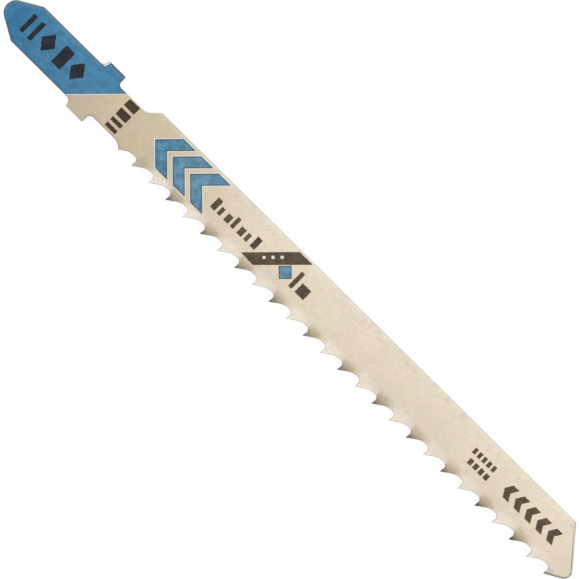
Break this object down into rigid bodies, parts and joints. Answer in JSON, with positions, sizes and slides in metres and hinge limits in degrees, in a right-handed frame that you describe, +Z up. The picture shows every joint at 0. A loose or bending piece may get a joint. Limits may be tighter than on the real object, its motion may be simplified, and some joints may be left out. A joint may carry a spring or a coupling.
{
  "type": "jigsaw blade",
  "caption": "Flat steel jigsaw blade with a T shank, a coated clamping end, a narrow neck, milled side-set teeth along one edge and a slanted far end.",
  "frame": {"origin": "under the middle of the blade's box, on the surface that the blade lies on", "axes": "+X from the shank's nose to the far end, +Y from the teeth to the straight back, +Z up out of the printed face"},
  "size_m": [0.0996, 0.0078, 0.0015],
  "materials": {
    "bright_steel": "satin ground steel",
    "blue_coating": "satin printed coating",
    "black_print": "satin printed ink",
    "pale_undercoat": "matt printed undercoat"
  },
  "bodies": {
    "root": {"blade": "bright_steel"}
  },
  "joints": []
}
